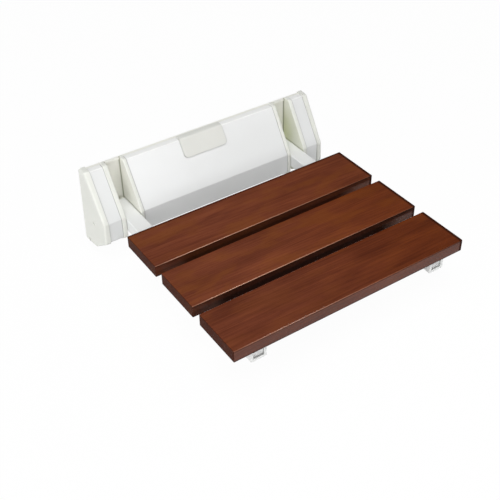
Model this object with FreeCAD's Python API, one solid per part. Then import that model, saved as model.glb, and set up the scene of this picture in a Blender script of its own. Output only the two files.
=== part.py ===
import FreeCAD, Part
import math
import os

# Fold down wall seat. Three hardwood boards lie on two tube arms, and the arms
# hinge in two pockets of a slim wall unit that holds everything to the wall.
# X runs along the wall, Y runs into the wall and Z is up. The origin is on the
# wall face, in the middle of the four wall screws. Depth is the distance out
# from the wall, so a point at depth d has Y = -d. All sizes are millimetres.

# Seat boards
board_count = 3
board_length = 360.0
board_width = 76.5
board_thickness = 18.0
board_gap = 15.5
board_edge_round = 1.2
front_edge_round = 2.0
board_end_round = 1.0
seat_top = 9.0
seat_setback = 112.0

# Arms
board_overhang = 38.0
arm_width = 23.0
arm_height = 20.0
arm_wall = 2.0
arm_corner_round = 1.5
arm_inset = 5.0

# Plugs in the front ends of the arms
plug_flange = 2.0
plug_depth = 8.0
plug_border = 3.6
plug_recess = 3.5
plug_floor = 1.5

# Hinge
pivot_depth = 28.0
pivot_drop = 8.0
pin_diameter = 8.0
bush_wall = 1.2
knuckle_length = 45.0
pin_head_diameter = 14.0
pin_head_length = 3.0
stub_diameter = 9.0
spacer_diameter = 14.0
ring_thickness = 1.0
ring_height = 2.4
groove_depth = 0.8
pin_tail = 2.4

# Hinge brackets, bent from steel sheet
bracket_sheet = 3.0
nose_radius = 12.0
nose_flat = 2.0
web_top_gap = 2.0
web_bottom = -50.0
bracket_toe = 12.0
bracket_screw_rise = 14.0

# Wall plate
plate_thickness = 3.0
plate_lip = 5.0
plate_ledge = 16.0
plate_corner_round = 1.0
wall_screw_spacing_x = 190.0
wall_screw_spacing_z = 70.0
wall_screw_hole = 8.5

# Wall unit outline, as seen from its end
unit_top = 58.5
unit_bottom = -58.5
brow_depth = 14.0
belly_depth = 56.0
belly_height = -6.0
chin_height = -37.5
foot_depth = 26.0
brow_round = 2.5
belly_round = 3.5
chin_round = 4.5
foot_round = 3.0
cover_wall = 2.0
ear_cover_length = 21.0

# Moulded end caps
rim_proud = 1.5
rim_round = 1.3
centre_cap_width = 5.0
ear_cap_width = 6.5
cheek_width = 9.5
cheek_round = 3.5
cheek_skin = 3.5
cheek_flare = 0.035
cheek_taper = 0.08
spigot_depth = 6.0
spigot_wall = 1.8
boss_diameter = 12.0
slot_width = 4.0
slot_height = 4.5
slot_depth = 8.5
slot_lip = 2.8
slot_reach = 7.0

# Badge plate, left plain
badge_width = 71.0
badge_middle = -3.0
badge_bottom = 36.0
badge_proud = 1.6
badge_corner = 5.0
badge_peg = 4.0
badge_peg_spacing = 44.0
badge_peg_height = 44.0

# Small screws
wood_screw_diameter = 4.6
wood_screw_head = 8.4
wood_screw_head_height = 3.0
wood_screw_bite = 13.0
wood_screw_spacing = 36.0
driver_hole = 11.0
sheet_screw_diameter = 5.0
sheet_screw_head = 9.0
cover_screw_diameter = 4.0
cover_screw_head = 7.6
cover_screw_depth = 10.0
cover_screw_spacing = 150.0
cap_screw_diameter = 3.0
cap_screw_head = 6.2
cap_screw_sink = 1.6
cap_screw_bite = 9.0
screw_tip = 1.0

# Clearances
running_gap = 0.05
screw_gap = 0.05
side_gap = 0.5
face_gap = 0.1
fit_gap = 0.3
spigot_gap = 0.15
stop_gap = 0.3

# Places that follow from the sizes above
board_bottom = seat_top - board_thickness
arm_bottom = board_bottom - arm_height
pivot_height = board_bottom - pivot_drop
board_pitch = board_width + board_gap
seat_front = seat_setback + board_count * board_pitch - board_gap
arm_front = seat_front - arm_inset
arm_x = board_length / 2 - board_overhang
arm_inner = arm_x - arm_width / 2
arm_outer = arm_x + arm_width / 2
web_face = plate_thickness + bracket_sheet
arm_rear = web_face + stop_gap
pin_radius = pin_diameter / 2
bush_radius = pin_radius + running_gap + bush_wall

# Stations along X, from the middle outwards
pocket_inner = arm_inner - side_gap
pocket_outer = arm_outer + side_gap
centre_cover_end = pocket_inner - centre_cap_width
ear_cover_start = pocket_outer + ear_cap_width
ear_cover_end = ear_cover_start + ear_cover_length
cheek_x = ear_cover_end + cheek_width
inner_cheek_face = centre_cover_end - fit_gap
outer_cheek_face = ear_cover_start + fit_gap
inner_cheek_back = inner_cheek_face - bracket_sheet
outer_cheek_back = outer_cheek_face + bracket_sheet
plate_end = ear_cover_end - fit_gap

# Working lengths: a cut starts this far outside the face it opens
overshoot = 1.0
far = 400.0
tiny = 0.01
smallest_round = 0.2


def point(x, depth, height):
    return FreeCAD.Vector(x, -depth, height)


def block(x0, x1, depth0, depth1, z0, z1):
    corner = point(x0, depth1, z0)
    return Part.makeBox(x1 - x0, depth1 - depth0, z1 - z0, corner)


def rod(radius, x0, x1, depth, height):
    return Part.makeCylinder(radius, x1 - x0, point(x0, depth, height), FreeCAD.Vector(1, 0, 0))


def cone_along(base, direction, length, radius0, radius1):
    return Part.makeCone(radius0, radius1, length, base, direction)


def mirrored(shape):
    return shape.mirror(FreeCAD.Vector(0, 0, 0), FreeCAD.Vector(1, 0, 0))


def joined(shapes):
    result = shapes[0].fuse(shapes[1:]) if len(shapes) > 1 else shapes[0]
    return result.removeSplitter()


# An outline is a list of (depth, height, corner radius).
def rounded_wire(outline, place):
    edges = []
    starts = []
    ends = []
    middles = []
    count = len(outline)
    for i in range(count):
        here = FreeCAD.Vector(outline[i][0], outline[i][1], 0)
        before = FreeCAD.Vector(outline[i - 1][0], outline[i - 1][1], 0)
        after = FreeCAD.Vector(outline[(i + 1) % count][0], outline[(i + 1) % count][1], 0)
        back = (before - here).normalize()
        ahead = (after - here).normalize()
        half_angle = back.getAngle(ahead) / 2
        radius = outline[i][2]
        tangent = radius / math.tan(half_angle)
        bisector = (back + ahead).normalize()
        reach = radius / math.sin(half_angle) - radius
        starts.append(here + back * tangent)
        ends.append(here + ahead * tangent)
        middles.append(here + bisector * reach)
    for i in range(count):
        following = (i + 1) % count
        if outline[i][2] > 0:
            edges.append(Part.Arc(place(starts[i]), place(middles[i]), place(ends[i])).toShape())
        edges.append(Part.LineSegment(place(ends[i]), place(starts[following])).toShape())
    return Part.Wire(edges)


def at_x(x):
    return lambda spot: point(x, spot.x, spot.y)


def prism(outline, x0, x1):
    return Part.Face(rounded_wire(outline, at_x(x0))).extrude(FreeCAD.Vector(x1 - x0, 0, 0))


# The same outline with every side moved out by a distance.
def grown(outline, distance):
    count = len(outline)
    area = 0.0
    for i in range(count):
        following = outline[(i + 1) % count]
        area += outline[i][0] * following[1] - following[0] * outline[i][1]
    turn = 1.0 if area > 0 else -1.0
    moved = []
    for i in range(count):
        before, here, after = outline[i - 1], outline[i], outline[(i + 1) % count]
        first = side_direction(before, here)
        second = side_direction(here, after)
        first_out = (first[1] * turn, -first[0] * turn)
        second_out = (second[1] * turn, -second[0] * turn)
        spread = 1 + first_out[0] * second_out[0] + first_out[1] * second_out[1]
        shift_d = distance * (first_out[0] + second_out[0]) / spread
        shift_z = distance * (first_out[1] + second_out[1]) / spread
        convex = turn * (first[0] * second[1] - first[1] * second[0]) > 0
        change = distance if convex else -distance
        radius = max(here[2] + change, smallest_round) if here[2] > 0 else 0
        moved.append((here[0] + shift_d, here[1] + shift_z, radius))
    return moved


def side_direction(start, end):
    length = math.hypot(end[0] - start[0], end[1] - start[1])
    return ((end[0] - start[0]) / length, (end[1] - start[1]) / length)


# The wall unit's outline runs on behind the wall face and is trimmed there.
def unit_outline(growth):
    behind = -20.0
    outline = [
        (behind, unit_bottom, 0),
        (foot_depth, unit_bottom, foot_round),
        (belly_depth, chin_height, chin_round),
        (belly_depth, belly_height, belly_round),
        (brow_depth, unit_top, brow_round),
        (behind, unit_top, 0),
    ]
    return grown(outline, growth)


def in_front_of(shape, depth):
    return shape.common(block(-far, far, depth, far, -far, far))


def unit_slice(x0, x1, growth, back):
    return in_front_of(prism(unit_outline(growth), x0, x1), back)


def plate_outline():
    ledge_under = unit_bottom + cover_wall + fit_gap
    ledge_over = ledge_under + plate_thickness
    lip_under = unit_top - plate_thickness
    return [
        (0, ledge_under, plate_corner_round),
        (plate_ledge, ledge_under, 0),
        (plate_ledge, ledge_over, 0),
        (plate_thickness, ledge_over, plate_corner_round),
        (plate_thickness, lip_under, plate_corner_round),
        (plate_lip, lip_under, 0),
        (plate_lip, unit_top, 0),
        (0, unit_top, plate_corner_round),
    ]


def wall_screw_places():
    half_x = wall_screw_spacing_x / 2
    half_z = wall_screw_spacing_z / 2
    return [(x, z) for x in (-half_x, half_x) for z in (-half_z, half_z)]


def bracket_screw_places():
    side = arm_width / 2 - bracket_sheet
    low = pivot_height - nose_radius - bracket_screw_rise
    high = pivot_height
    return [(arm_x + dx, z) for dx in (-side, side) for z in (low, high)]


def cover_screw_places():
    ear_x = (ear_cover_start + ear_cover_end) / 2
    half = cover_screw_spacing / 2
    return [-ear_x, -half, half, ear_x]


def countersunk(base, direction, diameter, head, length):
    depth = (head - diameter) / 2
    top = cone_along(base, direction, depth, head / 2, diameter / 2)
    shank = Part.makeCylinder(diameter / 2, length, base, direction)
    return top.fuse(shank).removeSplitter()


def make_wall_plate():
    plate = prism(plate_outline(), -plate_end, plate_end)
    inward = FreeCAD.Vector(0, -1, 0)
    for x, z in wall_screw_places():
        start = point(x, -overshoot, z)
        length = plate_thickness + 2 * overshoot
        plate = plate.cut(Part.makeCylinder(wall_screw_hole / 2, length, start, inward))
    for x, z in bracket_screw_places():
        for side in (-x, x):
            start = point(side, 0, z)
            hole = countersunk(start, inward, sheet_screw_diameter + 2 * screw_gap,
                               sheet_screw_head + 2 * screw_gap, plate_thickness + overshoot)
            plate = plate.cut(hole)
    up = FreeCAD.Vector(0, 0, 1)
    hole_radius = cover_screw_diameter / 2 + screw_gap
    for x in cover_screw_places():
        start = point(x, cover_screw_depth, unit_bottom)
        length = cover_wall + fit_gap + plate_thickness + overshoot
        plate = plate.cut(Part.makeCylinder(hole_radius, length, start, up))
    return plate


# A cover is an open channel. It hooks under the plate's lip at the top and is
# screwed up into the plate's ledge at the bottom.
def make_cover(x0, x1):
    solid = unit_slice(x0, x1, 0, plate_thickness + fit_gap)
    hollow = prism(unit_outline(-cover_wall), x0 - overshoot, x1 + overshoot)
    cover = solid.cut(hollow)
    seam = plate_lip + fit_gap
    lip_under = unit_top - plate_thickness
    lip_room = block(x0 - overshoot, x1 + overshoot, 0, seam, lip_under - fit_gap, unit_top + overshoot)
    cover = cover.cut(lip_room)
    tongue_top = lip_under - fit_gap
    tongue_bottom = tongue_top - cover_wall
    leg = block(x0, x1, seam, seam + cover_wall, tongue_bottom, unit_top - cover_wall / 2)
    tongue = block(x0, x1, plate_thickness + fit_gap, seam + cover_wall, tongue_bottom, tongue_top)
    cover = joined([cover, leg, tongue])
    up = FreeCAD.Vector(0, 0, 1)
    for x in cover_screw_places():
        if x0 < x < x1:
            start = point(x, cover_screw_depth, unit_bottom)
            hole = countersunk(start, up, cover_screw_diameter + 2 * screw_gap,
                               cover_screw_head + 2 * screw_gap, cover_wall + overshoot)
            cover = cover.cut(hole)
    return cover


def badge_normal():
    along_d = belly_depth - brow_depth
    along_z = unit_top - belly_height
    length = math.hypot(along_d, along_z)
    return FreeCAD.Vector(0, -along_z / length, along_d / length)


def slope_depth(height):
    share = (unit_top - height) / (unit_top - belly_height)
    return brow_depth + share * (belly_depth - brow_depth)


def badge_pegs(radius):
    outward = badge_normal()
    pegs = []
    for dx in (-badge_peg_spacing / 2, badge_peg_spacing / 2):
        spot = point(badge_middle + dx, slope_depth(badge_peg_height), badge_peg_height)
        length = 2 * cover_wall
        pegs.append(Part.makeCylinder(radius, length, spot - outward * length, outward))
    return pegs


def make_centre_cover():
    cover = make_cover(-centre_cover_end, centre_cover_end)
    for hole in badge_pegs(badge_peg / 2 + screw_gap):
        cover = cover.cut(hole)
    return cover


# The badge plate wraps over the brow and down the slope of the centre cover.
def make_badge():
    x0 = badge_middle - badge_width / 2
    x1 = badge_middle + badge_width / 2
    skin = unit_slice(x0, x1, badge_proud, plate_lip + fit_gap)
    skin = skin.cut(prism(unit_outline(0), x0 - overshoot, x1 + overshoot))
    window = block(x0, x1, 0, far, badge_bottom, unit_top + badge_proud + overshoot)
    lower = [edge for edge in window.Edges
             if abs(edge.BoundBox.ZMax - badge_bottom) < tiny and edge.BoundBox.YLength > far / 2]
    window = window.makeFillet(badge_corner, lower)
    badge = skin.common(window)
    return joined([badge] + badge_pegs(badge_peg / 2))


# The ring of a cap that plugs into the open end of a cover.
def spigot(x0, x1):
    outer_growth = -cover_wall - spigot_gap
    back = plate_ledge + 2 * fit_gap
    outer = unit_slice(x0, x1, outer_growth, back)
    inner = prism(unit_outline(outer_growth - spigot_wall), x0 - overshoot, x1 + overshoot)
    return outer.cut(inner)


def plate_room(x0, x1):
    return prism(grown(plate_outline(), fit_gap), x0, x1)


def web_room(x0, x1):
    web_top = board_bottom - web_top_gap
    return block(x0, x1, 0, web_face + fit_gap, web_bottom - fit_gap, web_top + fit_gap)


# A cap beside a pocket: its rounded rim stands proud of the cover all round.
def make_pocket_cap(x0, x1, spigot_x0, spigot_x1):
    body = prism(unit_outline(rim_proud), x0, x1)
    body = body.makeFillet(rim_round, [edge for edge in body.Edges if edge.BoundBox.XLength < tiny])
    body = in_front_of(body, plate_thickness + fit_gap)
    cap = joined([body, spigot(spigot_x0, spigot_x1)])
    low = min(x0, spigot_x0) - overshoot
    high = max(x1, spigot_x1) + overshoot
    cap = cap.cut(plate_room(low, high))
    cap = cap.cut(web_room(low, high))
    hole_radius = spacer_diameter / 2 + side_gap
    return cap.cut(rod(hole_radius, low, high, pivot_depth, pivot_height))


# The outer face of the unit leans: it is widest at the wall and at the bottom.
def cheek_face_x(depth, height):
    return cheek_x + cheek_flare * (unit_top - height) - cheek_taper * depth


def outside_cheek(offset):
    corners = [(-far, -far), (far, -far), (far, far), (-far, far), (-far, -far)]
    edge = [point(cheek_face_x(depth, height) - offset, depth, height) for depth, height in corners]
    return Part.Face(Part.makePolygon(edge)).extrude(FreeCAD.Vector(far, 0, 0))


def lies_on_cheek_face(edge):
    spots = [vertex.Point for vertex in edge.Vertexes]
    return all(abs(spot.x - cheek_face_x(-spot.y, spot.z)) < tiny for spot in spots)


def make_cheek():
    body = prism(unit_outline(rim_proud), ear_cover_end, far).cut(outside_cheek(0))
    body = body.makeFillet(cheek_round, [edge for edge in body.Edges if lies_on_cheek_face(edge)])
    hollow = prism(unit_outline(-cover_wall - spigot_gap - spigot_wall), ear_cover_end - overshoot, far)
    hollow = in_front_of(hollow.cut(outside_cheek(cheek_skin)), plate_thickness)
    body = in_front_of(body, 0)
    body = body.cut(hollow)
    boss_start = ear_cover_end + 2 * fit_gap
    boss_end = cheek_face_x(pivot_depth, pivot_height) - cheek_skin / 2
    boss = rod(boss_diameter / 2, boss_start, boss_end, pivot_depth, pivot_height)
    ring = spigot(ear_cover_end - spigot_depth, ear_cover_end)
    cheek = joined([body, boss, ring])
    cheek = cheek.cut(cap_screw_room())
    return cheek.cut(pry_slot())


# A blind slot low in the cheek takes the blade that pries the cap off.
def pry_slot():
    low = unit_bottom - rim_proud + slot_lip
    return block(cheek_x - slot_reach, far, slot_depth, slot_depth + slot_width, low, low + slot_height)


def cap_screw_seat():
    return cheek_face_x(pivot_depth, pivot_height) - cap_screw_sink


def cap_screw_shape(gap):
    seat = cap_screw_seat()
    end = ear_cover_end - cap_screw_bite
    start = point(seat, pivot_depth, pivot_height)
    inward = FreeCAD.Vector(-1, 0, 0)
    return countersunk(start, inward, cap_screw_diameter + 2 * gap, cap_screw_head + 2 * gap, seat - end)


def cap_screw_room():
    seat = cap_screw_seat()
    sink = rod(cap_screw_head / 2 + screw_gap, seat, seat + cheek_round, pivot_depth, pivot_height)
    return cap_screw_shape(screw_gap).fuse(sink)


def cheek_plate_outline():
    top = pivot_height + nose_radius
    bottom = pivot_height - nose_radius
    nose = pivot_depth + nose_radius
    return [
        (plate_thickness, web_bottom, 0),
        (bracket_toe, web_bottom, bracket_sheet),
        (nose, bottom, nose_radius - nose_flat / 2),
        (nose, top, nose_radius - nose_flat / 2),
        (plate_thickness, top, 0),
    ]


def make_bracket():
    outline = cheek_plate_outline()
    inner = prism(outline, inner_cheek_back, inner_cheek_face)
    outer = prism(outline, outer_cheek_face, outer_cheek_back)
    web_top = board_bottom - web_top_gap
    web = block(inner_cheek_back, outer_cheek_back, plate_thickness, web_face, web_bottom, web_top)
    bracket = joined([web, inner, outer])
    hole = pin_radius + running_gap
    start = inner_cheek_back - overshoot
    end = outer_cheek_back + overshoot
    bracket = bracket.cut(rod(hole, start, end, pivot_depth, pivot_height))
    inward = FreeCAD.Vector(0, -1, 0)
    for x, z in bracket_screw_places():
        start = point(x, plate_thickness - overshoot, z)
        radius = sheet_screw_diameter / 2 + screw_gap
        length = bracket_sheet + 2 * overshoot
        bracket = bracket.cut(Part.makeCylinder(radius, length, start, inward))
    return bracket


def make_bracket_screws():
    screws = []
    inward = FreeCAD.Vector(0, -1, 0)
    for x, z in bracket_screw_places():
        for side in (-x, x):
            length = web_face - face_gap
            screws.append(countersunk(point(side, 0, z), inward, sheet_screw_diameter,
                                      sheet_screw_head, length))
    return Part.makeCompound(screws)


def make_pin():
    tail = inner_cheek_back - pin_tail
    stub_end = ear_cover_end + face_gap
    shaft = rod(pin_radius, tail, outer_cheek_back, pivot_depth, pivot_height)
    head_end = outer_cheek_back + pin_head_length
    head = rod(pin_head_diameter / 2, outer_cheek_back, head_end, pivot_depth, pivot_height)
    stub = rod(stub_diameter / 2, head_end, stub_end, pivot_depth, pivot_height)
    pin = joined([shaft, head, stub])
    groove_start = inner_cheek_back - face_gap - ring_thickness - 2 * running_gap
    groove_end = inner_cheek_back - face_gap + running_gap
    groove = rod(pin_radius + overshoot, groove_start, groove_end, pivot_depth, pivot_height)
    core = rod(pin_radius - groove_depth, groove_start, groove_end, pivot_depth, pivot_height)
    pin = pin.cut(groove.cut(core))
    bite = rod(cap_screw_diameter / 2 + screw_gap, ear_cover_end - cap_screw_bite - face_gap,
               stub_end + overshoot, pivot_depth, pivot_height)
    return pin.cut(bite)


def make_retaining_ring():
    start = inner_cheek_back - face_gap - ring_thickness
    end = inner_cheek_back - face_gap
    bore = pin_radius - groove_depth + running_gap
    outer = rod(bore + ring_height, start, end, pivot_depth, pivot_height)
    low = start - overshoot
    high = end + overshoot
    ring = outer.cut(rod(bore, low, high, pivot_depth, pivot_height))
    mouth = block(low, high, pivot_depth - bore, pivot_depth + bore, pivot_height - far, pivot_height)
    return ring.cut(mouth)


def make_spacers():
    radius = spacer_diameter / 2
    hole = pin_radius + running_gap
    bore = rod(hole, inner_cheek_back, outer_cheek_back, pivot_depth, pivot_height)
    inner = rod(radius, inner_cheek_face + face_gap, arm_inner - face_gap, pivot_depth, pivot_height)
    outer = rod(radius, arm_outer + face_gap, outer_cheek_face - face_gap, pivot_depth, pivot_height)
    return Part.makeCompound([inner.cut(bore), outer.cut(bore)])


# Above the pivot the rear end of an arm is rounded about the pivot, so that it
# swings clear of the bracket. Below it the square heel stops on the bracket.
def rear_relief():
    reach = pivot_depth - arm_rear
    low = arm_inner - overshoot
    high = arm_outer + overshoot
    corner = block(low, high, 0, pivot_depth, pivot_height, board_bottom + overshoot)
    return corner.cut(rod(reach, low - overshoot, high + overshoot, pivot_depth, pivot_height))


def tube_outline(inset):
    round_off = max(arm_corner_round - inset, smallest_round)
    left = arm_inner + inset
    right = arm_outer - inset
    low = arm_bottom + inset
    high = board_bottom - inset
    return [
        (left, low, round_off),
        (right, low, round_off),
        (right, high, round_off),
        (left, high, round_off),
    ]


def along_arm(inset, depth0, depth1):
    def place(spot):
        return FreeCAD.Vector(spot.x, -depth0, spot.y)
    face = Part.Face(rounded_wire(tube_outline(inset), place))
    return face.extrude(FreeCAD.Vector(0, depth0 - depth1, 0))


def wood_screw_depths():
    depths = []
    for i in range(board_count):
        middle = seat_setback + i * board_pitch + board_width / 2
        depths.append(middle - wood_screw_spacing / 2)
        depths.append(middle + wood_screw_spacing / 2)
    return depths


def upright(radius, x, depth, z0, z1):
    return Part.makeCylinder(radius, z1 - z0, point(x, depth, z0))


def bush_hole():
    return rod(bush_radius, arm_inner - overshoot, arm_outer + overshoot, pivot_depth, pivot_height)


def make_arm():
    tube = along_arm(0, arm_rear, arm_front - plug_flange)
    tube = tube.cut(along_arm(arm_wall, arm_rear - overshoot, arm_front))
    tube = tube.cut(rear_relief())
    tube = tube.cut(bush_hole())
    for depth in wood_screw_depths():
        low_end = arm_bottom + arm_wall + overshoot
        low_hole = upright(driver_hole / 2, arm_x, depth, arm_bottom - overshoot, low_end)
        high_hole = upright(wood_screw_diameter / 2 + screw_gap, arm_x, depth,
                            board_bottom - arm_wall - overshoot, board_bottom + overshoot)
        tube = tube.cut(low_hole).cut(high_hole)
    return tube


def make_knuckle():
    knuckle = along_arm(arm_wall + face_gap, arm_rear, arm_rear + knuckle_length)
    knuckle = knuckle.cut(rear_relief())
    return knuckle.cut(bush_hole())


def make_bush():
    outer = rod(bush_radius, arm_inner, arm_outer, pivot_depth, pivot_height)
    bore_start = arm_inner - overshoot
    bore_end = arm_outer + overshoot
    return outer.cut(rod(pin_radius + running_gap, bore_start, bore_end, pivot_depth, pivot_height))


# The plug is a cup with a broad rim. Its square recess faces forwards.
def make_plug():
    flange_rear = arm_front - plug_flange
    sleeve_rear = flange_rear - plug_depth
    flange = along_arm(0, flange_rear, arm_front)
    sleeve = along_arm(arm_wall + face_gap, sleeve_rear, flange_rear)
    recess = along_arm(plug_border, arm_front - plug_recess, arm_front + overshoot)
    hollow = along_arm(plug_border, sleeve_rear - overshoot, arm_front - plug_recess - plug_floor)
    return joined([flange, sleeve]).cut(recess).cut(hollow)


def board_outline(index):
    rear = seat_setback + index * board_pitch
    front = rear + board_width
    front_round = front_edge_round if index == board_count - 1 else board_edge_round
    return [
        (rear, board_bottom, board_edge_round),
        (front, board_bottom, board_edge_round),
        (front, seat_top, front_round),
        (rear, seat_top, board_edge_round),
    ]


def make_board(index):
    half = board_length / 2
    board = prism(board_outline(index), -half, half)
    ends = [edge for edge in board.Edges if edge.BoundBox.XLength < tiny]
    board = board.makeFillet(board_end_round, ends)
    rear = seat_setback + index * board_pitch
    for depth in wood_screw_depths():
        if rear < depth < rear + board_width:
            for x in (-arm_x, arm_x):
                hole = upright(wood_screw_diameter / 2 + screw_gap, x, depth,
                               board_bottom - overshoot, board_bottom + wood_screw_bite)
                board = board.cut(hole)
    return board


def make_wood_screws():
    screws = []
    seat = board_bottom - arm_wall
    for depth in wood_screw_depths():
        for x in (-arm_x, arm_x):
            crown = wood_screw_head_height / 3
            brim = upright(wood_screw_head / 2, x, depth, seat - wood_screw_head_height + crown, seat)
            down = FreeCAD.Vector(0, 0, -1)
            dome = cone_along(point(x, depth, seat - wood_screw_head_height + crown), down, crown,
                              wood_screw_head / 2, wood_screw_head / 2 - crown)
            shank = upright(wood_screw_diameter / 2, x, depth, seat, board_bottom + wood_screw_bite)
            screws.append(joined([dome, brim, shank]))
    return Part.makeCompound(screws)


def make_cover_screws():
    up = FreeCAD.Vector(0, 0, 1)
    length = cover_wall + fit_gap + plate_thickness + screw_tip
    screws = []
    for x in cover_screw_places():
        start = point(x, cover_screw_depth, unit_bottom)
        screws.append(countersunk(start, up, cover_screw_diameter, cover_screw_head, length))
    return Part.makeCompound(screws)


def save(name, shape):
    shape.exportStep("parts/" + name + ".step")
    print(name, "solids", len(shape.Solids), "volume", round(shape.Volume, 1), "valid", shape.isValid())


def save_pair(name, right_shape):
    save(name + "_left", mirrored(right_shape))
    save(name + "_right", right_shape)


def build():
    os.makedirs("parts", exist_ok=True)
    save("wall_plate", make_wall_plate())
    save("centre_cover", make_centre_cover())
    save_pair("ear_cover", make_cover(ear_cover_start, ear_cover_end))
    centre_cap = make_pocket_cap(centre_cover_end, pocket_inner,
                                 centre_cover_end - spigot_depth, centre_cover_end)
    save_pair("centre_cap", centre_cap)
    ear_cap = make_pocket_cap(pocket_outer, ear_cover_start, ear_cover_start, ear_cover_start + spigot_depth)
    save_pair("ear_cap", ear_cap)
    save_pair("cheek_cap", make_cheek())
    save("badge_plate", make_badge())
    save_pair("hinge_bracket", make_bracket())
    save("bracket_screws", make_bracket_screws())
    save_pair("hinge_pin", make_pin())
    save_pair("retaining_ring", make_retaining_ring())
    save_pair("hinge_spacers", make_spacers())
    save("cover_screws", make_cover_screws())
    cap_screw = cap_screw_shape(0)
    save("cheek_screws", Part.makeCompound([mirrored(cap_screw), cap_screw]))
    save_pair("arm_tube", make_arm())
    save_pair("arm_knuckle", make_knuckle())
    save_pair("hinge_bush", make_bush())
    save_pair("arm_plug", make_plug())
    save("board_rear", make_board(0))
    save("board_middle", make_board(1))
    save("board_front", make_board(2))
    save("board_screws", make_wood_screws())


build()
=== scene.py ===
# %% [markdown]
# # A fold down wall seat, dressed for its portrait
# The seat is three lacquered hardwood boards on two white tube arms. The arms
# hinge in two pockets of a slim white unit that is screwed to a wall. The
# construction model already holds every piece at its real size, so this lesson
# adds the finishes, the light and the camera. We start by loading that model:
# its pieces stay where they are, and everything here is in metres, with X along
# the wall, Y into the wall and Z up.

# %% Load the frame
import math

import bpy
from mathutils import Matrix, Vector


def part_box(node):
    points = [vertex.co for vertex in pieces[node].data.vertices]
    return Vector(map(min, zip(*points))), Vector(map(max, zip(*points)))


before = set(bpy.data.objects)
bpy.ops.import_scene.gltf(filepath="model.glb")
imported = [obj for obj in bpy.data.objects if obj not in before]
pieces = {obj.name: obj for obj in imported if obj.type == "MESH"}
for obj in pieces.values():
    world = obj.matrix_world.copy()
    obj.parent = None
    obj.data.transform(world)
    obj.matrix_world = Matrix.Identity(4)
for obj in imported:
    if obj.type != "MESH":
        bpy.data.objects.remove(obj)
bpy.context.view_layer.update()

# %% [markdown]
# A few places are asked of the frame instead of being typed again. If a board
# gets longer in the construction model, the end grain and the painted shade
# along its edges follow it here without a change.

# %% Measure what the finishes need
MM = 0.001
BOARDS = ["board_rear", "board_middle", "board_front"]
SIDES = ["left", "right"]


def pair(name):
    return [name + "_" + side for side in SIDES]


board_boxes = {name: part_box(name) for name in BOARDS}
for name, (low, high) in board_boxes.items():
    print(name, "spans", [round(v / MM, 1) for v in high - low], "mm")

# %% [markdown]
# Shader nodes are arithmetic drawn as boxes and wires. Arithmetic is easier to
# read as arithmetic, so we make one small class that holds a socket. Adding,
# multiplying or dividing two of them adds the Math node that does it and
# returns its output. The reflected forms let a plain number stand on the left,
# as in `1 - mask`. A colour or a vector goes through Vector Math instead,
# because a Math node would turn it grey.

# %% A wire that can be calculated with
class Wire:
    def __init__(self, finish, socket):
        self.finish = finish
        self.socket = socket

    def is_vector(self):
        return self.socket.type in ("VECTOR", "RGBA")

    def calculate(self, operation, first, second):
        wires = [w for w in (first, second) if isinstance(w, Wire)]
        if any(w.is_vector() for w in wires):
            kind = "ShaderNodeVectorMath"
        else:
            kind = "ShaderNodeMath"
        return self.finish.add(kind, {"operation": operation}, {0: first, 1: second})

    def __add__(self, other):
        return self.calculate("ADD", self, other)

    def __radd__(self, other):
        return self.calculate("ADD", other, self)

    def __sub__(self, other):
        return self.calculate("SUBTRACT", self, other)

    def __rsub__(self, other):
        return self.calculate("SUBTRACT", other, self)

    def __mul__(self, other):
        return self.calculate("MULTIPLY", self, other)

    def __rmul__(self, other):
        return self.calculate("MULTIPLY", other, self)

    def __truediv__(self, other):
        return self.calculate("DIVIDE", self, other)

    def __abs__(self):
        return self.finish.add("ShaderNodeMath", {"operation": "ABSOLUTE"}, {0: self})


# %% [markdown]
# A finish is a material with a few habits. `add` makes any node: its type, then
# its settings, then the numbers or wires of its sockets. Settings come first
# because some of them, such as a node's operation, change which sockets it has.
# The helpers below it are the handful of patterns that every finish here uses:
# noise at a real size in metres, a smooth step, a blend of colours, and `at`,
# which is one on a surface, holds until `start` and has faded at `reach`.
# `paint` lays one more colour over the finish, where its share says so.

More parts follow.
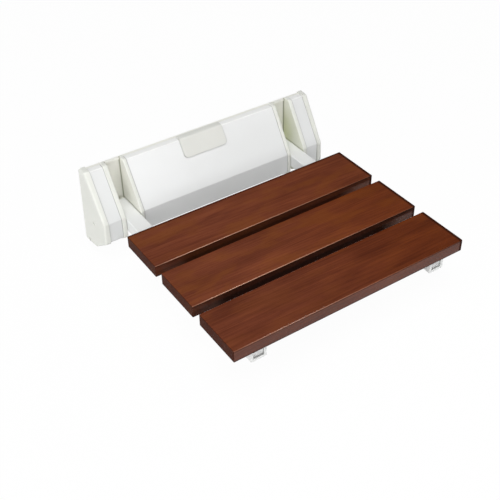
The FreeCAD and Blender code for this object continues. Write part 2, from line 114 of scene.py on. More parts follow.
# %% A finish
class Finish:
    def __init__(self, name):
        self.material = bpy.data.materials.new(name)
        self.material.use_nodes = True
        self.tree = self.material.node_tree
        self.tree.nodes.clear()

    def add(self, kind, settings, sockets, output=0):
        node = self.tree.nodes.new(kind)
        for key, value in settings.items():
            if key == "stops":
                self.set_stops(node.color_ramp, value)
            else:
                setattr(node, key, value)
        for key, value in sockets.items():
            socket = node.inputs[key]
            if isinstance(value, Wire):
                self.tree.links.new(value.socket, socket)
            else:
                socket.default_value = value
        return Wire(self, node.outputs[output]) if len(node.outputs) else None

    def set_stops(self, ramp, stops):
        while len(ramp.elements) > len(stops):
            ramp.elements.remove(ramp.elements[-1])
        while len(ramp.elements) < len(stops):
            ramp.elements.new(1.0)
        for element, (place, colour) in zip(ramp.elements, stops):
            element.position = place
            element.color = (*colour, 1.0)

    def place(self):
        return self.add("ShaderNodeTexCoord", {}, {}, "Object")

    def split(self, vector):
        parts = self.add("ShaderNodeSeparateXYZ", {}, {0: vector}, 0)
        return [Wire(self, out) for out in parts.socket.node.outputs]

    def join(self, x, y, z):
        return self.add("ShaderNodeCombineXYZ", {}, {0: x, 1: y, 2: z})

    def noise(self, place, size, detail=3.0, roughness=0.5):
        sockets = {"Vector": place, "Scale": 1.0 / size, "Detail": detail, "Roughness": roughness}
        return self.add("ShaderNodeTexNoise", {}, sockets, 0)

    def step(self, value, start, end):
        sockets = {"Value": value, "From Min": start, "From Max": end}
        return self.add("ShaderNodeMapRange", {"interpolation_type": "SMOOTHSTEP"}, sockets)

    def at(self, distance, reach, start=0.2 * MM):
        return 1 - self.step(distance, start, reach)

    def larger(self, first, second):
        return self.add("ShaderNodeMath", {"operation": "MAXIMUM"}, {0: first, 1: second})

    def root(self, value):
        return self.add("ShaderNodeMath", {"operation": "SQRT"}, {0: value})

    def ramp(self, value, stops):
        return self.add("ShaderNodeValToRGB", {"stops": stops}, {0: value})

    def mix(self, share, first, second):
        sockets = {0: share, 6: padded_colour(first), 7: padded_colour(second)}
        return self.add("ShaderNodeMix", {"data_type": "RGBA"}, sockets, 2)

    def paint(self, share, colour):
        self.colour = self.mix(share, self.colour, colour)

    def bump(self, height, strength, distance):
        sockets = {"Height": height, "Strength": strength, "Distance": distance}
        return self.add("ShaderNodeBump", {}, sockets)

    def surface(self, **sockets):
        named = {key.replace("_", " "): value for key, value in sockets.items()}
        named["Base Color"] = padded_colour(named["Base Color"])
        shader = self.add("ShaderNodeBsdfPrincipled", {}, named)
        self.add("ShaderNodeOutputMaterial", {}, {"Surface": shader})
        return self.material


def padded_colour(colour):
    return colour if isinstance(colour, Wire) else (*colour, 1.0)


# %% [markdown]
# ## Powder coat
# The covers, the arms and the wall plate are sheet and tube, sprayed with a dry
# powder that melts into a tough white skin. Seen close it has a faint
# orange peel: soft hills about a millimetre across. Seen from further off it
# drifts a little in tone, so each coat has two whites. A plain white surface
# would look like paper, so both are here, and both are kept very weak, because
# new powder coat is even.

# %% Powder coat
PEEL_SIZE = 1.1 * MM
DRIFT_SIZE = 90 * MM
DRIFT_SPAN = (0.35, 0.65)
SPECK = (0.45, 0.45, 0.43)
SPECK_SIZE = 0.5 * MM
SPECK_SPAN = (0.70, 0.78)
SPECK_SHARE = 0.05


class PowderCoat(Finish):
    def __init__(self, name, colour, shade):
        super().__init__(name)
        self.where = self.place()
        self.drift = self.noise(self.where, DRIFT_SIZE, detail=2.0)
        self.colour = self.mix(self.step(self.drift, *DRIFT_SPAN), colour, shade)
        speck = self.step(self.noise(self.where, SPECK_SIZE, detail=1.0), *SPECK_SPAN)
        self.paint(speck * SPECK_SHARE, SPECK)

    def done(self):
        peel = self.noise(self.where, PEEL_SIZE, detail=1.0)
        return self.surface(
            Base_Color=self.colour,
            Roughness=0.38 + 0.08 * self.drift,
            Coat_Weight=0.15,
            Coat_Roughness=0.25,
            Normal=self.bump(peel, 0.12, 0.05 * MM),
        )


ARM_WHITES = [(0.83, 0.84, 0.835), (0.80, 0.81, 0.805)]
SCREW_WHITES = [(0.74, 0.75, 0.72), (0.70, 0.71, 0.68)]
arm_coat = PowderCoat("arm_powder_coat", *ARM_WHITES).done()
screw_coat = PowderCoat("screw_powder_coat", *SCREW_WHITES).done()
print("coats:", arm_coat.name, screw_coat.name)

# %% [markdown]
# Where two pieces meet there is a gap of a third of a millimetre. From where the
# camera stands it is narrower than one picture element, yet the eye expects the
# grey hairline of shade that a real joint shows. So a hair's breadth of painted
# shade runs along the ends and the rear edge of each cover, and a painted shadow
# lies round the badge plate, whose outline is a rectangle with rounded lower
# corners on the slope: least at its sides and most below it. The top edge of a
# cover gets a painted highlight instead. The two short covers are a shade greyer
# than the long one.

# %% The covers and their joints
LONG_WHITES = [(0.81, 0.82, 0.817), (0.785, 0.795, 0.79)]
SHORT_WHITES = [(0.755, 0.765, 0.762), (0.73, 0.74, 0.735)]
TOP_HIGHLIGHT = (0.90, 0.905, 0.89)
TOP_REACH = 1.2 * MM
JOINT_SHADE = (0.33, 0.33, 0.31)
END_REACH = 1.7 * MM
END_SHARE = 0.75
REAR_REACH = 0.8 * MM
REAR_SHARE = 0.50
BADGE_CORNER = 5.0 * MM
BADGE_REACH = 2.2 * MM
BADGE_SIDES = 0.5
HEIGHT_PER_SLOPE = 0.84


# Painted shadow round the badge plate, least at its sides and most below it.
def badge_shade(coat, x, z):
    low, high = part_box("badge_plate")
    corner = (high.x - low.x) / 2 - BADGE_CORNER
    corner_height = low.z + BADGE_CORNER * HEIGHT_PER_SLOPE
    across = coat.larger(abs(x - (low.x + high.x) / 2) - corner, 0.0)
    down = coat.larger((corner_height - z) / HEIGHT_PER_SLOPE, 0.0)
    away = coat.root(across * across + down * down) - BADGE_CORNER
    below = coat.step(down, 0.0, BADGE_CORNER)
    return coat.at(away, BADGE_REACH) * (BADGE_SIDES + (1 - BADGE_SIDES) * below)


def cover_finish(name, whites):
    low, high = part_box(name)
    coat = PowderCoat(name + "_powder_coat", *whites)
    x, y, z = coat.split(coat.where)
    ends = coat.larger(coat.at(x - low.x, END_REACH), coat.at(high.x - x, END_REACH))
    joint_shade = coat.larger(ends * END_SHARE, coat.at(high.y - y, REAR_REACH) * REAR_SHARE)
    if name == "centre_cover":
        joint_shade = coat.larger(joint_shade, badge_shade(coat, x, z))
    # A painted highlight along the top edge, then painted shade in the joints and round the badge.
    coat.paint(coat.at(high.z - z, TOP_REACH), TOP_HIGHLIGHT)
    coat.paint(joint_shade, JOINT_SHADE)
    return coat.done()


cover_coats = {"centre_cover": cover_finish("centre_cover", LONG_WHITES)}
for name in pair("ear_cover"):
    cover_coats[name] = cover_finish(name, SHORT_WHITES)
print("cover coats:", len(cover_coats))

# %% [markdown]
# The inner corners of the pockets get painted shade, slightly olive: on the
# plate, towards the two walls of each pocket and down where the arm goes in.
# The places that matter are read off the frame: the two walls of a pocket, the
# face of the plate and the top of the arm.

# %% The pockets
PLATE_WHITES = [(0.90, 0.90, 0.84), (0.87, 0.87, 0.81)]
OLIVE_SHADE = (0.22, 0.225, 0.13)
POCKET_WALLS = [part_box("centre_cap_right")[1].x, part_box("ear_cap_right")[0].x]
POCKET_MIDDLE = (POCKET_WALLS[0] + POCKET_WALLS[1]) / 2
PLATE_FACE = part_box("hinge_bracket_right")[1].y
ARM_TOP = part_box("arm_tube_right")[1].z
FRONT_REACH = 0.8 * MM
CORNER_REACH = 2.2 * MM
CORNER_SHARE = 0.65
FOOT_REACH = (5 * MM, 1 * MM)
FOOT_SHARE = 0.60


def pocket_corner(finish, x, distance):
    near = [finish.at(abs(abs(x) - wall), distance) for wall in POCKET_WALLS]
    return finish.larger(*near)


def plate_finish():
    coat = PowderCoat("plate_powder_coat", *PLATE_WHITES)
    x, y, z = coat.split(coat.where)
    half = POCKET_WALLS[1] - POCKET_MIDDLE
    in_pocket = coat.at(abs(abs(x) - POCKET_MIDDLE), half + 1 * MM)
    on_front = coat.at(y - PLATE_FACE, FRONT_REACH)
    foot = in_pocket * coat.at(abs(z - ARM_TOP), *FOOT_REACH) * FOOT_SHARE
    shade = coat.larger(pocket_corner(coat, x, CORNER_REACH) * CORNER_SHARE, foot)
    # Painted olive shade in the pocket corners and just above the arm.
    coat.paint(shade * on_front, OLIVE_SHADE)
    return coat.done()


plate_coat = plate_finish()
print("pocket walls at", [round(wall / MM, 1) for wall in POCKET_WALLS], "mm")

# %% [markdown]
# ## Moulded plastic
# The end caps, the badge plate and the arm plugs are injection moulded. Their
# mould was spark eroded, which leaves a fine even grain that takes the shine
# off. The grain lives in the bump and the roughness: real dents that small
# would take millions of faces. These plastics are a slightly warmer, creamier
# white than the covers beside them, and that small difference is what makes
# them read as separate pieces.

# %% Moulded plastic
GRAIN_SIZE = 0.35 * MM
TINGE_SIZE = 60 * MM


class Moulded(Finish):
    def __init__(self, name, colour, shade):
        super().__init__(name)
        self.where = self.place()
        tinge = self.noise(self.where, TINGE_SIZE, detail=2.0)
        self.colour = self.mix(self.step(tinge, *DRIFT_SPAN), colour, shade)

    def done(self):
        grain = self.noise(self.where, GRAIN_SIZE, detail=2.0)
        return self.surface(
            Base_Color=self.colour,
            Roughness=0.46 + 0.10 * grain,
            Normal=self.bump(grain, 0.20, 0.03 * MM),
        )


BADGE_WHITES = [(0.71, 0.715, 0.675), (0.69, 0.695, 0.655)]
BUSH_WHITES = [(0.72, 0.71, 0.66), (0.68, 0.67, 0.62)]
badge_plastic = Moulded("badge_plastic", *BADGE_WHITES).done()
bush_plastic = Moulded("bush_plastic", *BUSH_WHITES).done()
print("plastics:", badge_plastic.name, bush_plastic.name)

# %% [markdown]
# The caps are the side walls of the pockets. In the left pocket the walls get
# a painted light and look bright. In the right one they get a painted
# olive-yellow shade, the more so the deeper they go in and down. In both, the
# corners towards the plate and along the top of the arm get the same olive
# painted shade as the plate. Faces picked by hand could carry a few materials
# for this, but masks in one material fade softly, and they follow when a wall
# of the pocket moves in the construction model.

# %% The end caps
CAP_WHITES = [(0.765, 0.774, 0.727), (0.745, 0.754, 0.703)]
LIT_WALL_WHITE = (0.93, 0.93, 0.865)
LIT_WALL_SHARE = 0.7
SHADE_TINT = (0.76, 0.80, 0.52)
SHADE_TINT_SHARE = 0.2
SHADE_TINT_MORE = 0.6
SIDE_SPAN = 50 * MM
WALL_REACH = 0.6 * MM
DEEP_IN = (34 * MM, 3 * MM)
DEEP_DOWN = (60 * MM, 8 * MM)
PLATE_CORNER = (3.0 * MM, 0.5 * MM)
ARM_CORNER = (2.5 * MM, 0.5 * MM)
ARM_CORNER_SHARE = 0.5
WALL_SHADE_SHARE = 0.75


def wall_shade(cap, y, z):
    towards_plate = cap.at(PLATE_FACE - y, *PLATE_CORNER)
    towards_arm = cap.at(abs(z - ARM_TOP), *ARM_CORNER) * ARM_CORNER_SHARE
    return cap.larger(towards_plate, towards_arm) * WALL_SHADE_SHARE


def cap_finish():
    cap = Moulded("cap_plastic", *CAP_WHITES)
    x, y, z = cap.split(cap.where)
    on_wall = pocket_corner(cap, x, WALL_REACH)
    left_side = 1 - cap.step(x, -SIDE_SPAN, SIDE_SPAN)
    # Painted light on the walls of the left pocket.
    cap.paint(on_wall * left_side * LIT_WALL_SHARE, LIT_WALL_WHITE)
    deep = cap.at(PLATE_FACE - y, *DEEP_IN) * cap.at(z - ARM_TOP, *DEEP_DOWN)
    tinted_shade = SHADE_TINT_SHARE + SHADE_TINT_MORE * deep
    # Painted olive-yellow shade on the walls of the right pocket, more deeper in and down.
    cap.paint(on_wall * (1 - left_side) * tinted_shade, SHADE_TINT)
    # Painted olive shade in the corners towards the plate and along the arm.
    cap.paint(on_wall * wall_shade(cap, y, z), OLIVE_SHADE)
    return cap.done()


cap_plastic = cap_finish()
print("the arms' tops are at", round(ARM_TOP / MM, 1), "mm")

# %% [markdown]
# The plug in the front end of an arm is a shallow cup. Its rim is bright, the
# narrow walls of the cup get painted shade, and its bottom a painted light,
# brighter than the plug's own white.
# The plug's own box tells the three apart, so its one mesh needs no second
# material.

# %% The plugs
PLUG_WHITES = [(0.83, 0.84, 0.83), (0.81, 0.82, 0.81)]
CUP_DEPTH = 3.5 * MM
CUP_BORDER = 3.6 * MM
CUP_REACH = 0.6 * MM
CUP_RIM = (0.3 * MM, 0.7 * MM)
CUP_FLOOR = (CUP_DEPTH - 0.5 * MM, CUP_DEPTH - 0.2 * MM)
CUP_WALL_SHADE = (0.44, 0.45, 0.44)
CUP_BOTTOM_LIGHT = (0.88, 0.88, 0.88)


def plug_finish(name):
    low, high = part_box(name)
    plug = Moulded(name + "_plastic", *PLUG_WHITES)
    x, y, z = plug.split(plug.where)
    inside = 1.0
    for line, start, end in [(x, low.x, high.x), (z, low.z, high.z)]:
        half = (end - start) / 2 - CUP_BORDER
        inside = inside * plug.at(abs(line - (start + end) / 2) - half, CUP_REACH)
    # Painted shade on the cup's walls, then painted light on its bottom.
    plug.paint(inside * plug.step(y - low.y, *CUP_RIM), CUP_WALL_SHADE)
    plug.paint(inside * plug.step(y - low.y, *CUP_FLOOR), CUP_BOTTOM_LIGHT)
    return plug.done()


plug_plastics = {name: plug_finish(name) for name in pair("arm_plug")}
print("plug plastics:", len(plug_plastics))

# %% [markdown]
# ## Hinge metal
# Pins, rings and screws are turned steel with a thin bright zinc plate. Turning
# leaves fine rings round the axis, which the plate follows. The two knuckles
# inside the arms are cast aluminium, greyer and with a grain like fine sand.
# Most of this shows only when the seat is taken apart. Both are metal all over,
# so Metallic is simply one, and the roughness and the bump do the rest.

# %% Hinge metal
ZINC_GREYS = [(0.60, 0.61, 0.62), (0.70, 0.69, 0.66)]
CAST_GREYS = [(0.50, 0.50, 0.51), (0.62, 0.62, 0.62)]
BLOOM_SIZE = 4 * MM
TURNED_SIZE = 0.8 * MM
TURNED_SQUEEZE = 8
SAND_SIZE = 0.7 * MM


def zinc_plate():
    zinc = Finish("zinc_plate")
    place = zinc.place()
    bloom = zinc.noise(place, BLOOM_SIZE, detail=4.0)
    x, y, z = zinc.split(place)
    turned = zinc.noise(zinc.join(x * TURNED_SQUEEZE, y, z), TURNED_SIZE, detail=1.0)
    return zinc.surface(
        Base_Color=zinc.mix(bloom, *ZINC_GREYS),
        Metallic=1.0,
        Roughness=0.26 + 0.16 * bloom,
        Normal=zinc.bump(turned, 0.15, 0.02 * MM),
    )


def cast_aluminium():
    cast = Finish("cast_aluminium")
    sand = cast.noise(cast.place(), SAND_SIZE, detail=3.0)
    return cast.surface(
        Base_Color=cast.mix(sand, *CAST_GREYS),
        Metallic=1.0,
        Roughness=0.42 + 0.15 * sand,
        Normal=cast.bump(sand, 0.5, 0.08 * MM),
    )


zinc = zinc_plate()
casting = cast_aluminium()
print("hinge metals:", zinc.name, casting.name)

# %% [markdown]
# ## Lacquered hardwood
# A board is a slice through a tree, so its figure is a solid thing: the same
# rings that run as long streaks along the top come out as arcs on the end. A
# picture of wood laid on each face would break at the edges, so we build the
# figure in space. Every point of the board asks how far it is from the heart of
# the tree, which lies a hand's width or less below the board, near one of its
# long edges. That distance, made uneven by slow noise, is cut into rings. They
# are kept faint: this wood is stained dark, and what the eye meets first is
# broad soft streaks that lie along the board, where the stain took more or less.

# %% The rings of the wood
RING = 2.6 * MM
RING_RISE = (0.20, 0.90)
RING_FALL = (0.90, 1.0)
SWAY = 16 * MM
SWAY_SIZE = 45 * MM
SWAY_STRETCH = 9.0
LEAN = 0.035


def stretched(wood, place, along):
    x, y, z = wood.split(place)
    return wood.join(x / along, y, z)


def ring_distance(wood, place, heart):
    x, y, z = wood.split(place)
    sway = wood.noise(stretched(wood, place, SWAY_STRETCH), SWAY_SIZE, detail=2.0) - 0.5
    across = y - heart[0] + x * LEAN
    through = z - heart[1]
    return wood.root(across * across + through * through) + sway * SWAY


def ring_shade(wood, place, heart):
    count = ring_distance(wood, place, heart) / RING
    part = wood.add("ShaderNodeMath", {"operation": "FRACT"}, {0: count})
    return wood.step(part, *RING_RISE) * (1 - wood.step(part, *RING_FALL))


print("rings of", round(RING / MM, 1), "mm")

# %% [markdown]
# The streaks are noise that is squeezed across the board and drawn out along
# it, three times over: broad ones a hand long, narrow ones, and the fibres.
# Pores are the rare peaks of a finer noise. The sum picks the shade, and a slow
# cloud of its own warms some of it from red to amber. Each kind is given by how
# far it is drawn out, its width, its detail and, for the fibres, how rough it is.

# %% Streaks, fibres and pores
BROAD = (4.5, 18 * MM, 3.0)
NARROW = (22.0, 5 * MM, 2.0)
FIBRES = (55.0, 1.2 * MM, 3.0, 0.6)
PORES = (24.0, 0.45 * MM, 2.0)
AMBER_CLOUD = (2.5, 22 * MM, 3.0)
PORE_SPAN = (0.62, 0.72)
AMBER_SPAN = (0.44, 0.66)
RING_WEIGHT = 0.08
BROAD_WEIGHT = 0.62
NARROW_WEIGHT = 0.26
FIBRE_WEIGHT = 0.42
FIGURE_OFFSET = 0.195


def streaks(wood, place, along, size, detail, roughness=0.5):
    return wood.noise(stretched(wood, place, along), size, detail, roughness)


def wood_figure(wood, place, heart, fibre):
    figure = ring_shade(wood, place, heart) * RING_WEIGHT
    figure = figure + streaks(wood, place, *BROAD) * BROAD_WEIGHT
    figure = figure + streaks(wood, place, *NARROW) * NARROW_WEIGHT
    return figure + fibre * FIBRE_WEIGHT - FIGURE_OFFSET


print("streaks are", [round(kind[1] / MM, 2) for kind in (BROAD, NARROW, FIBRES)], "mm wide")

# %% [markdown]
# The ends and the edges of a board need more than its figure. To paint them,
# the finish has to know where on the board a point lies: on the top, the front
# or the rear face, at the left end, in the rim round the right end or along the
# rear, or at the lower edge. Each of these places is a mask, asked of the
# board's own box. Two slower masks run along the board: one is zero at the left
# end and soon one, the other starts later and grows up to the right end.

# %% Where a point of a board lies
LENGTH = board_boxes["board_front"][1].x - board_boxes["board_front"][0].x
EDGE_REACH = 1.3 * MM
LEFT_REACH = 0.8 * MM
RIGHT_RIM = (6.0 * MM, 3.6 * MM)
REAR_RIM = (5.0 * MM, 2.8 * MM)
LOWER_EDGE = (3.0 * MM, 1.4 * MM)
UNDER_EDGE = (3.2 * MM, 1.6 * MM)
FROM_LEFT = (-0.50 * LENGTH, -0.41 * LENGTH)
TO_RIGHT = (-0.30 * LENGTH, 0.50 * LENGTH)


class Board(Finish):
    def __init__(self, name, heart, shift):
        super().__init__(name + "_lacquered_hardwood")
        self.x, y, z = self.split(self.place())
        place = self.join(self.x + shift, y, z)
        self.fibre = streaks(self, place, *FIBRES)
        self.pores = self.step(streaks(self, place, *PORES), *PORE_SPAN)
        self.amber = self.step(streaks(self, place, *AMBER_CLOUD), *AMBER_SPAN)
        self.figure = wood_figure(self, place, heart, self.fibre)
        self.find_faces(*board_boxes[name], y, z)

    def find_faces(self, low, high, y, z):
        self.from_top = high.z - z
        self.top = self.at(self.from_top, EDGE_REACH)
        self.under_edge = self.at(self.from_top, *UNDER_EDGE)
        self.lower_edge = self.at(z - low.z, *LOWER_EDGE)
        self.front = self.at(y - low.y, EDGE_REACH)
        self.rear = self.at(high.y - y, EDGE_REACH)
        self.rear_rim = self.at(high.y - y, *REAR_RIM) * self.top
        self.left = self.at(self.x - low.x, LEFT_REACH)
        self.right_rim = self.at(high.x - self.x, *RIGHT_RIM)
        self.from_left = self.step(self.x, *FROM_LEFT)
        self.to_right = self.step(self.x, *TO_RIGHT)


print("boards are", round(LENGTH / MM, 1), "mm long")

# %% [markdown]
# The saw-cut faces that look into a gap were never polished, so they have
# little lacquer. Their colour is painted shade: almost black, blackest in their
# lower half and just under the top edge. Only near their ends, where light comes
# in from the sides, is the painted shade lighter: at the left end over its whole
# height, at the right end low down. The front board's own front looks into no
# gap and stays brown. Shadow alone leaves the gaps too brown in a light as soft
# as ours, so the shade is painted here.

# %% The faces in the gaps
GAP_SHADE_BROWN = (0.020, 0.0055, 0.0030)
GAP_DEEP_SHADE = (0.006, 0.0018, 0.0008)
GAP_DEEP_SHADE_SHARE = 0.85
LOW_HALF = (7 * MM, 11 * MM)
LIT_LEFT_END = (0.36 * LENGTH, 0.42 * LENGTH)
LIT_LEFT_END_SHARE = 0.40
LIT_RIGHT_END = (0.32 * LENGTH, 0.43 * LENGTH)
LIT_RIGHT_END_SHARE = 0.80
LIT_RIGHT_LOW = (5 * MM, 9 * MM)


# Where the gap faces lie, less painted shade near the ends, which light reaches from the sides.
def gap_faces(board, open_front):
    faces = board.rear if open_front else board.larger(board.rear, board.front)
    lit_left = board.step(0 - board.x, *LIT_LEFT_END) * LIT_LEFT_END_SHARE
    lit_right = board.step(board.x, *LIT_RIGHT_END) * board.step(board.from_top, *LIT_RIGHT_LOW)
    side_lit = board.larger(lit_left, lit_right * LIT_RIGHT_END_SHARE)
    return faces * (1 - board.top) * (1 - side_lit)


# Painted shade on the faces that look into a gap, blackest low down and under the top edge.
def shade_gap_faces(board, in_gap, gap_shade):
    blackest = board.larger(board.step(board.from_top, *LOW_HALF), board.under_edge)
    board.paint(in_gap * gap_shade, GAP_SHADE_BROWN)
    board.paint(in_gap * blackest * gap_shade * GAP_DEEP_SHADE_SHARE, GAP_DEEP_SHADE)


print("gap faces are blackest from", round(LOW_HALF[1] / MM), "mm down")

# %% [markdown]
# The sharp front edge on top is the opposite of a gap: it gets a painted
# highlight, a lighter line beside the glint of the small lamp. That line is weak
# at the very left end, strong soon after it, and fades towards the right. Just
# under it runs a dark line of painted shade. A thin strip of mesh could carry the
# two lines, but masks bend with the rounded edge that the board already has.

# %% The front edge's painted highlight
EDGE_HIGHLIGHT = (0.480, 0.2450, 0.1600)
# This dark brown colours the pores and also the painted shade on the boards.
PORE_AND_SHADE_BROWN = (0.028, 0.0070, 0.0035)
HIGHLIGHT_AT_RIGHT = 0.10
HIGHLIGHT_AT_LEFT = 0.35
HIGHLIGHT_LEAST = 0.6
UNDER_EDGE_SHARE = 0.45


# A painted highlight along the front edge, and a line of painted shade just under it.
def paint_front_edge_lines(board):
    towards_right = HIGHLIGHT_AT_RIGHT + (1 - HIGHLIGHT_AT_RIGHT) * (1 - board.to_right)
    from_left = HIGHLIGHT_AT_LEFT + (1 - HIGHLIGHT_AT_LEFT) * board.from_left
    highlight = towards_right * from_left * (HIGHLIGHT_LEAST + board.fibre)
    board.paint(board.top * board.front * highlight, EDGE_HIGHLIGHT)
    board.paint(board.front * board.under_edge * (1 - board.top) * UNDER_EDGE_SHARE, PORE_AND_SHADE_BROWN)


# The bright front-edge line is a painted highlight.
print("the worn edge keeps", HIGHLIGHT_AT_RIGHT, "of its strength at the right end")

# %% [markdown]
# Now a board can be finished from the inside out: its figure with amber and
# pores, then painted shade that darkens the tops towards the right and the
# fronts, the painted shade of the gap faces, and more painted shade along the
# lower edges, round the right end and, on the rear board, along the rear rim.
# The left end is painted darker too. Last comes the lacquer. It is a clear coat,
# and the places that were never polished have almost none.

# %% The board finish
WOOD_LIGHT = (0.212, 0.0572, 0.0232)
WOOD_MAIN = (0.142, 0.0358, 0.0158)
WOOD_DARK = (0.084, 0.0186, 0.0076)
WOOD_AMBER = (0.194, 0.0570, 0.0118)
WOOD_STOPS = [(0.22, WOOD_LIGHT), (0.50, WOOD_MAIN), (0.80, WOOD_DARK)]
# Painted shade that darkens and reddens the tops towards the right.
RIGHT_SHADE_TINT = (0.83, 0.62, 0.16)
AMBER_SHARE = 0.45
PORE_SHARE = 0.45
FRONT_SHARE = 0.25
LOWER_SHARE = 0.82
LEFT_SHARE = 0.76
RIGHT_SHARE = 0.85
CORNER_DULL = 0.6
COAT = 0.62
COAT_LOST = 0.60


def show_figure(board, darker):
    board.colour = board.ramp(board.figure + darker, WOOD_STOPS)
    board.paint(board.amber * (AMBER_SHARE - 2 * darker), WOOD_AMBER)
    board.paint(board.pores * PORE_SHARE, PORE_AND_SHADE_BROWN)


def lacquer(board, in_gap):
    corner = board.top * board.front * (1 - board.from_left) * CORNER_DULL
    unpolished = in_gap
    for place in (board.left, board.right_rim, board.rear_rim, corner):
        unpolished = board.larger(unpolished, place)
    return board.surface(
        Base_Color=board.colour,
        Roughness=0.40 + 0.12 * board.fibre,
        Specular_IOR_Level=0.02,
        Coat_Weight=COAT - COAT_LOST * unpolished,
        Coat_Roughness=0.19,
        Normal=board.bump(board.fibre - board.pores, 0.10, 0.05 * MM),
    )


def board_finish(name, heart, shift, gap_shade, right_shade, darker=0.0, dark_rear=0.0, open_front=False):
    board = Board(name, heart, shift)
    in_gap = gap_faces(board, open_front)
    show_figure(board, darker)
    # Painted shade: the tops darker and redder towards the right, and the front faces darker.
    board.paint(board.to_right * board.top * right_shade, board.colour * RIGHT_SHADE_TINT)
    board.paint(board.front * FRONT_SHARE, PORE_AND_SHADE_BROWN)
    shade_gap_faces(board, in_gap, gap_shade)
    # Painted shade along the lower edges; the left end is painted darker.
    board.paint(board.lower_edge * LOWER_SHARE, PORE_AND_SHADE_BROWN)
    board.paint(board.left * LEFT_SHARE, PORE_AND_SHADE_BROWN)
    paint_front_edge_lines(board)
    # Painted shade round the right end and along the rear rim.
    board.paint(board.right_rim * RIGHT_SHARE, PORE_AND_SHADE_BROWN)
    board.paint(board.rear_rim * dark_rear, PORE_AND_SHADE_BROWN)
    return lacquer(board, in_gap)


print("lacquer:", COAT, "and where never polished", round(COAT - COAT_LOST, 2))

# %% [markdown]
# No two boards are cut from the same place of a tree, so each gets a heart and
# a stretch of the streaks of its own. They also differ in how much painted shade
# their gap faces get and how much painted shade darkens their tops towards the
# right. The front board is a little darker all over, and only the rear board has
# a rim of painted shade along its rear.

# %% Three boards
board_finishes = {
    "board_rear": board_finish(
        "board_rear", heart=(-0.120, -0.085), shift=0.31, gap_shade=0.50, right_shade=0.42, dark_rear=0.64),
    "board_middle": board_finish(
        "board_middle", heart=(-0.275, -0.060), shift=1.27, gap_shade=0.80, right_shade=0.75),
    "board_front": board_finish(
        "board_front", heart=(-0.300, -0.100), shift=2.43, gap_shade=0.90, right_shade=0.80,
        darker=0.13, open_front=True),
}
print("board finishes:", len(board_finishes))

# %% [markdown]
# ## Dress the pieces
# Now each finish goes to its pieces. The construction model's meshes stay as
# they are: only their material changes.

# %% Dress the pieces
def dress(names, material):
    for name in names:
        mesh = pieces[name].data
        mesh.materials.clear()
        mesh.materials.append(material)
        for polygon in mesh.polygons:
            polygon.material_index = 0


dress(["cheek_screws"], screw_coat)
dress(pair("arm_tube"), arm_coat)
dress(["wall_plate", *pair("hinge_bracket")], plate_coat)
dress([*pair("centre_cap"), *pair("ear_cap"), *pair("cheek_cap")], cap_plastic)
dress(["badge_plate"], badge_plastic)
dress([*pair("hinge_bush"), *pair("hinge_spacers")], bush_plastic)
dress(["bracket_screws", "cover_screws", "board_screws"], zinc)
dress([*pair("hinge_pin"), *pair("retaining_ring")], zinc)
dress(pair("arm_knuckle"), casting)
for finishes in (cover_coats, plug_plastics, board_finishes):
    for name, material in finishes.items():
        dress([name], material)
print("finishes in use:", len({piece.data.materials[0].name for piece in pieces.values()}))

# %% [markdown]
# ## The floor
# A plain pale floor lies a little below the unit. Light that comes down beside
# the seat is caught by it and sent up again, and where the seat shades it, it
# stays dark. That is why the gaps between the boards look deep: through them
# one sees the shaded faces and nothing that is lit. The floor itself is shown
# almost white, like a studio sweep: most of what the camera sees of it is an
# even glow, and the small rest is its real shade. Under the middle of the seat
# the glow is nearly taken away, so that nothing bright shines up through the
# gaps. There the floor asks how much sky is open above it, so that the glow is
# back when the seat is folded up.

# %% The floor
FLOOR_DROP = 75 * MM
FLOOR_HALF = 6.0
FLOOR_BOUNCE = 0.88
FLOOR_SEEN = 0.92
GLOW_SHARE = 0.97
GLOW_TAKEN = 0.85
SKY_REACH = 150 * MM
SKY_SPAN = (0.5, 0.9)
SHADE_X = (45 * MM, 90 * MM)
SHADE_Y = (-185 * MM, 50 * MM)
SHADE_FADE = 50 * MM


def make_floor():
    corners = [(-1, -1), (1, -1), (1, 1), (-1, 1)]
    points = [(x * FLOOR_HALF, y * FLOOR_HALF, -FLOOR_DROP) for x, y in corners]
    mesh = bpy.data.meshes.new("floor")
    mesh.from_pydata(points, [], [(0, 1, 2, 3)])
    floor = bpy.data.objects.new("floor", mesh)
    bpy.context.scene.collection.objects.link(floor)
    return floor


def below_seat(finish):
    x, y, z = finish.split(finish.place())
    open_sky = finish.add("ShaderNodeAmbientOcclusion", {"samples": 4}, {"Distance": SKY_REACH}, "AO")
    below = 1 - finish.step(open_sky, *SKY_SPAN)
    for line, (middle, half) in [(x, SHADE_X), (y, SHADE_Y)]:
        below = below * finish.at(abs(line - middle) - half, SHADE_FADE, 0.0)
    return below


def floor_finish():
    finish = Finish("pale_floor")
    seen = finish.add("ShaderNodeLightPath", {}, {}, "Is Camera Ray")
    pale = FLOOR_BOUNCE + (FLOOR_SEEN - FLOOR_BOUNCE) * seen
    matt = finish.add("ShaderNodeBsdfDiffuse", {}, {"Color": pale})
    glow = finish.add("ShaderNodeEmission", {}, {"Color": (1, 1, 1, 1), "Strength": 1.0})
    share = seen * (GLOW_SHARE - GLOW_TAKEN * below_seat(finish))
    mixed = finish.add("ShaderNodeMixShader", {}, {0: share, 1: matt, 2: glow})
    finish.add("ShaderNodeOutputMaterial", {}, {"Surface": mixed})
    return finish.material


floor = make_floor()
floor.data.materials.append(floor_finish())
print("floor:", 2 * FLOOR_HALF, "m square,", round(FLOOR_DROP / MM), "mm below the wall screws' middle")

# %% [markdown]
# ## The room
# The room sends the seat only a soft even light. What the lacquer mirrors of it
# is pale low down and dim overhead, as in a studio whose walls are lit and
# whose ceiling isn't. Seen straight it is white.

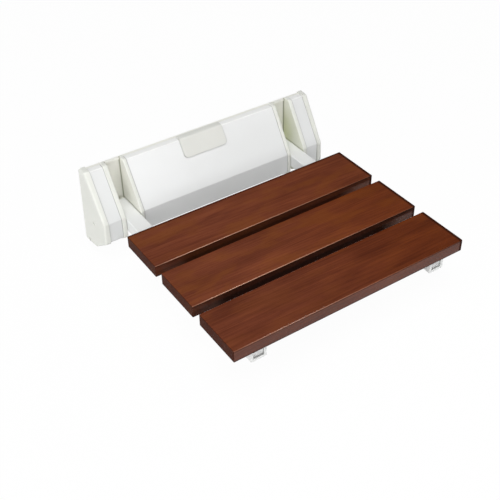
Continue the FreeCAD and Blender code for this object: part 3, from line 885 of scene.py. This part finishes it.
# %% The room's own light
AMBIENT_OVERHEAD = 0.15
AMBIENT_WALLS = 1.40
MIRRORED_OVERHEAD = 0.07
MIRRORED_WALLS = 0.38
WALLS_TO_CEILING = (-0.05, 0.55)


class Room(Finish):
    def __init__(self):
        self.world = bpy.data.worlds.new("studio")
        self.world.use_nodes = True
        self.tree = self.world.node_tree
        self.tree.nodes.clear()
        bpy.context.scene.world = self.world


def light_room():
    room = Room()
    seen = room.add("ShaderNodeLightPath", {}, {}, "Is Camera Ray")
    glossy = room.add("ShaderNodeLightPath", {}, {}, "Is Glossy Ray") * (1 - seen)
    x, y, z = room.split(room.add("ShaderNodeTexCoord", {}, {}, "Generated"))
    low_down = 1 - room.step(z, *WALLS_TO_CEILING)
    mirrored = MIRRORED_OVERHEAD + MIRRORED_WALLS * low_down
    ambient = AMBIENT_OVERHEAD + (AMBIENT_WALLS - AMBIENT_OVERHEAD) * low_down
    strength = seen + glossy * mirrored + (1 - seen - glossy) * ambient
    sky = room.add("ShaderNodeBackground", {}, {"Color": (1, 1, 1, 1), "Strength": strength})
    room.add("ShaderNodeOutputWorld", {}, {"Surface": sky})


light_room()
print("room:", bpy.context.scene.world.name)

# %% [markdown]
# ## Lamps
# Two large soft lamps: the main one hangs above and in front, and the other
# fills the left side. A third is small. It stands in front, where the rounded
# front edges of the boards mirror it as a thin bright line. Each lamp is given
# by its direction from the seat, its distance, its size and its power.

# %% Lamps
SEAT_MIDDLE = Vector((0.0, -0.15, 0.0))
LAMPS = {
    "main_lamp": ((-0.22, -0.22, 1.0), 2.2, 1.4, 30.5),
    "left_lamp": ((-1.0, -0.60, 0.35), 2.0, 1.2, 12.3),
    "edge_lamp": ((0.10, -0.398, 0.381), 0.56, 0.10, 0.50),
}


def add_lamp(name, direction, distance, size, power):
    data = bpy.data.lights.new(name, "AREA")
    data.shape = "SQUARE"
    data.size = size
    data.energy = power
    lamp = bpy.data.objects.new(name, data)
    lamp.location = SEAT_MIDDLE + Vector(direction).normalized() * distance
    lamp.rotation_mode = "QUATERNION"
    lamp.rotation_quaternion = (SEAT_MIDDLE - lamp.location).to_track_quat("-Z", "Y")
    bpy.context.scene.collection.objects.link(lamp)
    return lamp


for name, facts in LAMPS.items():
    lamp = add_lamp(name, *facts)
    print(name, "is at", [round(v, 2) for v in lamp.location])

# %% [markdown]
# ## Camera
# The camera stands in front of the seat and to its left, and looks down on it.
# Its place and turn were worked out from the straight edges of the boards and
# the unit, whose real directions are known.

# %% Camera
CAMERA_AZIMUTH = math.radians(-33.229)
CAMERA_ELEVATION = math.radians(39.137)
CAMERA_ROLL = math.radians(-1.072)
CAMERA_PLACE = Vector((-0.54862, -0.97331, 0.73233))
LENS = 63.27


def camera_turn():
    level = math.cos(CAMERA_ELEVATION)
    back = Vector((
        math.sin(CAMERA_AZIMUTH) * level,
        -math.cos(CAMERA_AZIMUTH) * level,
        math.sin(CAMERA_ELEVATION),
    ))
    right = Vector((0, 0, 1)).cross(back).normalized()
    up = back.cross(right)
    turned_right = math.cos(CAMERA_ROLL) * right + math.sin(CAMERA_ROLL) * up
    turned_up = math.cos(CAMERA_ROLL) * up - math.sin(CAMERA_ROLL) * right
    return Matrix((turned_right, turned_up, back)).transposed()


def add_camera():
    data = bpy.data.cameras.new("camera")
    data.lens = LENS
    camera = bpy.data.objects.new("camera", data)
    camera.matrix_world = Matrix.Translation(CAMERA_PLACE) @ camera_turn().to_4x4()
    bpy.context.scene.collection.objects.link(camera)
    bpy.context.scene.camera = camera


add_camera()
bpy.context.scene.view_settings.view_transform = "Standard"
print("camera:", round((CAMERA_PLACE - SEAT_MIDDLE).length, 2), "m from the seat")

# %% [markdown]
# ## Done

# %% Finish
print("done")
